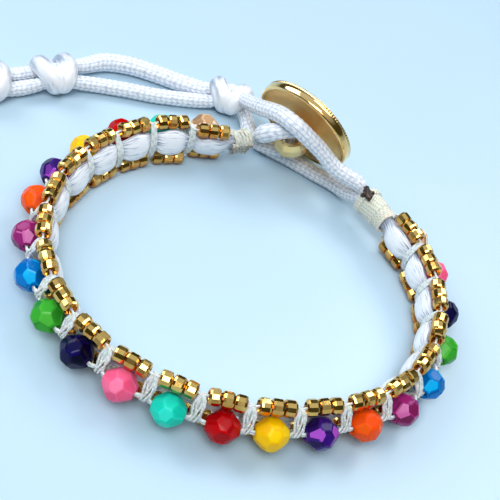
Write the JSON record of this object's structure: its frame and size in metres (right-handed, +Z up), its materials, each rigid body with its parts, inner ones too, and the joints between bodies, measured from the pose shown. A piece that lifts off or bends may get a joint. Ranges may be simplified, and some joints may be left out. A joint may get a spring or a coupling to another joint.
{
  "type": "macrame bracelet",
  "caption": "Knotted bracelet of faceted glass beads and gold seed beads on a white satin cord, closed over a gold shank button, with a knotted tail.",
  "frame": {"origin": "middle of the footprint of the band and button on the surface that the bracelet rests on", "axes": "+Z up from the resting surface, +Y towards the button and tail, +X towards the end where the two free strands start"},
  "size_m": [0.0917, 0.0809, 0.0182],
  "materials": {
    "glass_bronze": "opaque, fire polished",
    "glass_pink": "opaque, fire polished",
    "glass_navy": "opaque, fire polished",
    "glass_green": "opaque, fire polished",
    "glass_blue": "opaque, fire polished",
    "glass_plum": "opaque, fire polished",
    "glass_orange": "opaque, fire polished",
    "glass_purple": "opaque, fire polished",
    "glass_yellow": "opaque, fire polished",
    "glass_red": "opaque, fire polished",
    "glass_turquoise": "opaque, fire polished",
    "gold_seed_glass": "silver-lined gold",
    "satin": "satin",
    "thread": "matt",
    "melted_thread": "burnt",
    "gold_metal": "polished, gold plated"
  },
  "bodies": {
    "root": {"bead_01_bronze": "glass_bronze", "bead_02_pink": "glass_pink", "bead_03_navy": "glass_navy", "bead_04_green": "glass_green", "bead_05_blue": "glass_blue", "bead_06_plum": "glass_plum", "bead_07_orange": "glass_orange", "bead_08_purple": "glass_purple", "bead_09_yellow": "glass_yellow", "bead_10_red": "glass_red", "bead_11_turquoise": "glass_turquoise", "bead_12_pink": "glass_pink", "bead_13_navy": "glass_navy", "bead_14_green": "glass_green", "bead_15_blue": "glass_blue", "bead_16_plum": "glass_plum", "bead_17_orange": "glass_orange", "bead_18_purple": "glass_purple", "bead_19_yellow": "glass_yellow", "bead_20_red": "glass_red", "bead_21_turquoise": "glass_turquoise", "bead_22_bronze": "glass_bronze", "upper_seed_row": "gold_seed_glass", "lower_seed_row": "gold_seed_glass", "upper_core_cord": "satin", "lower_core_cord": "satin", "bead_thread": "thread", "square_knots": "thread", "right_whipping": "thread", "left_whipping": "thread", "burnt_thread_end": "melted_thread", "button": "gold_metal", "button_loop": "satin", "strand_a": "satin", "strand_b": "satin", "knot_1": "satin", "knot_2": "satin", "knot_3": "satin"}
  },
  "joints": []
}
